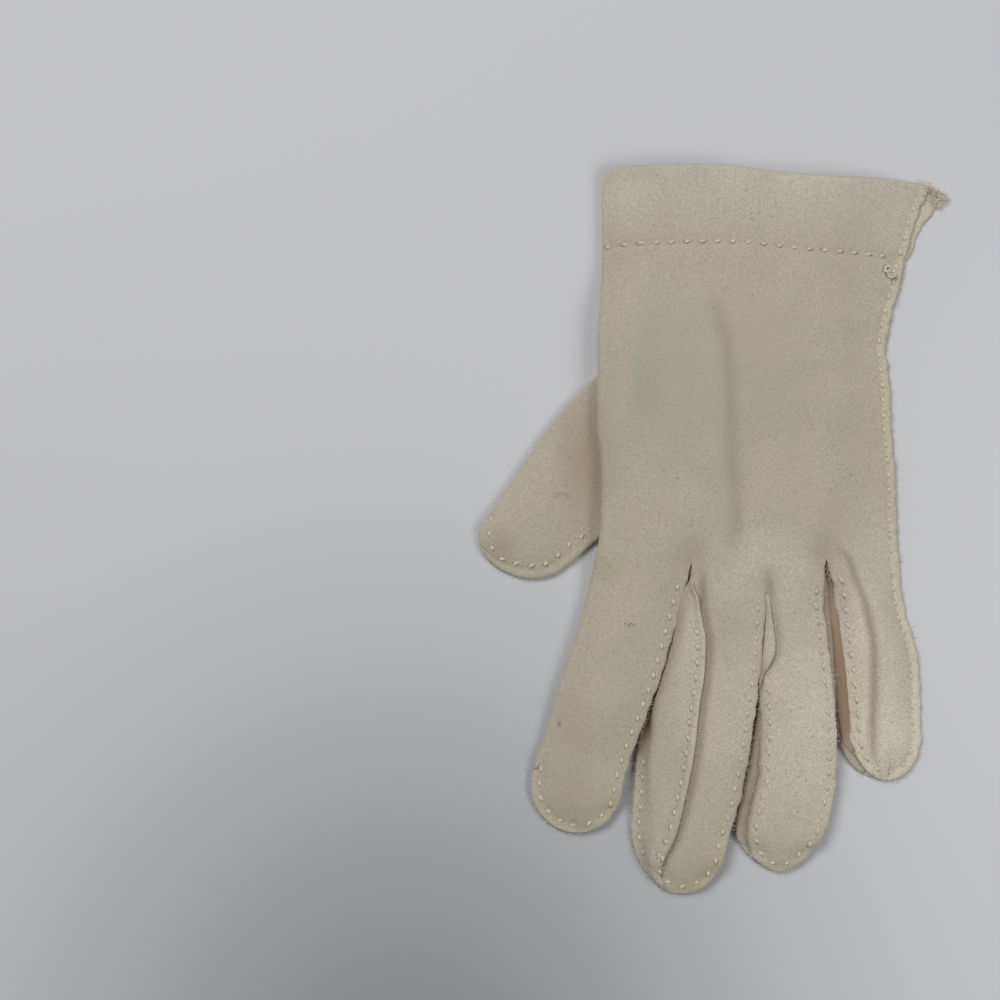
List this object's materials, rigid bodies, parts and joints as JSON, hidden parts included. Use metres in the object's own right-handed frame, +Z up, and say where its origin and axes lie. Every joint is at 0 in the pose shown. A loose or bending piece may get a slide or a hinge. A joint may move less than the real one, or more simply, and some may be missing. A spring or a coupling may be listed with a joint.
{
  "type": "cotton dress glove",
  "caption": "Left-hand cotton dress glove lying palm down, with a folded trank, set-in thumb, fourchettes between the fingers, raw outseams and a stitched hem.",
  "frame": {"origin": "middle of the glove's footprint, on the surface that it lies on", "axes": "+X from the thumb to the little finger, +Y from the fingertips to the cuff, +Z up from the palm to the back of the hand"},
  "size_m": [0.147, 0.2314, 0.0111],
  "materials": {
    "cotton": "washed ecru cotton, fine napped knit, matte",
    "fourchette_cotton": "the same ecru cotton, a shade cleaner"
  },
  "bodies": {
    "root": {"trank": "cotton", "thumb": "cotton", "fourchette_index_middle": "fourchette_cotton", "fourchette_middle_ring": "fourchette_cotton", "fourchette_ring_little": "fourchette_cotton"}
  },
  "joints": []
}
